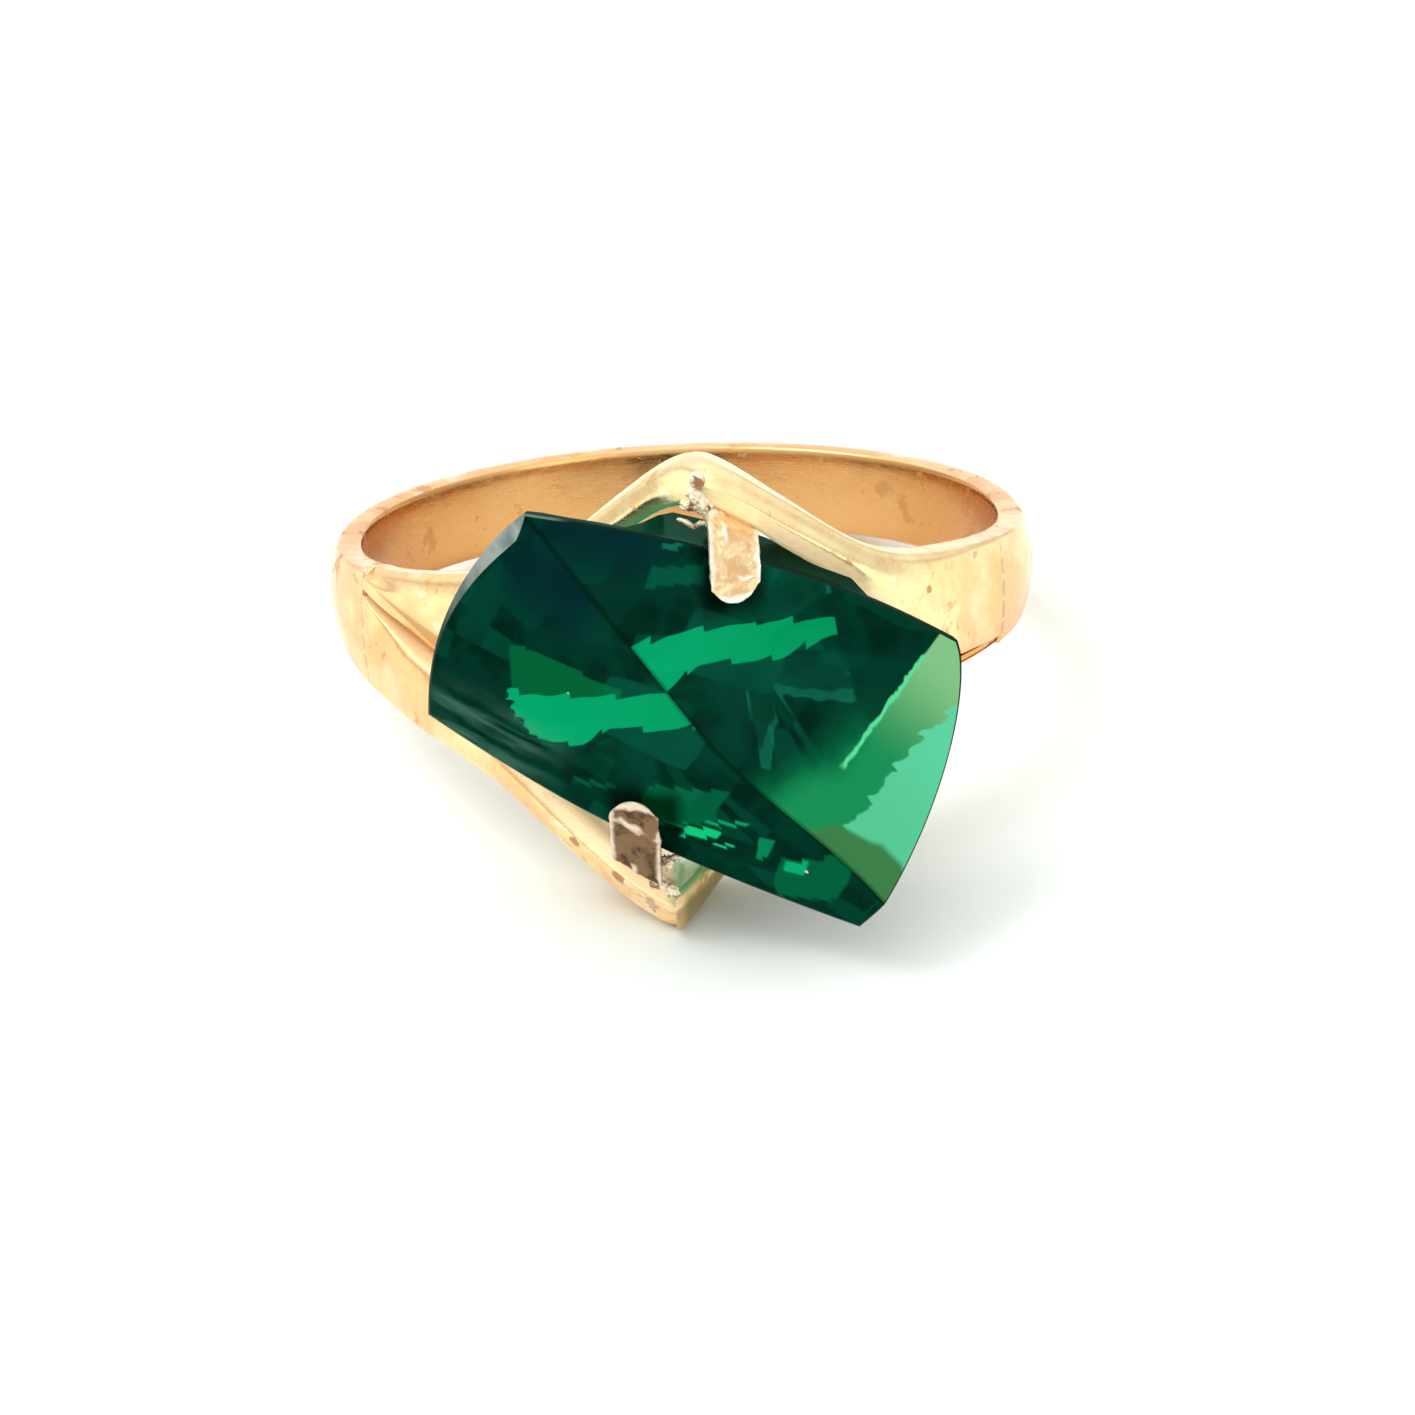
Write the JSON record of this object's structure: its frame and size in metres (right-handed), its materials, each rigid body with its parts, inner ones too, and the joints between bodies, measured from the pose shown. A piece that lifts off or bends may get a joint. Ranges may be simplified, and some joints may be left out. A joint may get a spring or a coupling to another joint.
{
  "type": "cocktail ring",
  "caption": "Gold-coloured bypass cocktail ring: a domed band opens at the shoulders into crossing rails that carry a rectangular green stone with a diagonal ridge.",
  "frame": {"origin": "centre of the ring's bounding box; the centre of the finger hole, at the middle of the band's width, is at (0, 0.002775, 0.000158) m", "axes": "+Z along the finger hole; the stone faces -Y; +X to the right as seen from the stone's front"},
  "size_m": [0.0192, 0.0248, 0.012],
  "materials": {
    "band_gold": "polished peach gold, fine scratches",
    "rail_gold": "polished pale yellow gold, small pits and stains",
    "prong_gold": "worn, slightly rough pinkish gold",
    "solder": "rough solder",
    "green_stone": "polished transparent bottle green"
  },
  "bodies": {
    "root": {"shank": "band_gold", "upper_front_rail": "rail_gold", "lower_front_rail": "rail_gold", "upper_back_rail": "rail_gold", "lower_back_rail": "rail_gold", "upper_prong": "prong_gold", "lower_prong": "prong_gold", "upper_apex_solder": "solder", "lower_apex_solder": "solder", "stone": "green_stone"}
  },
  "joints": []
}
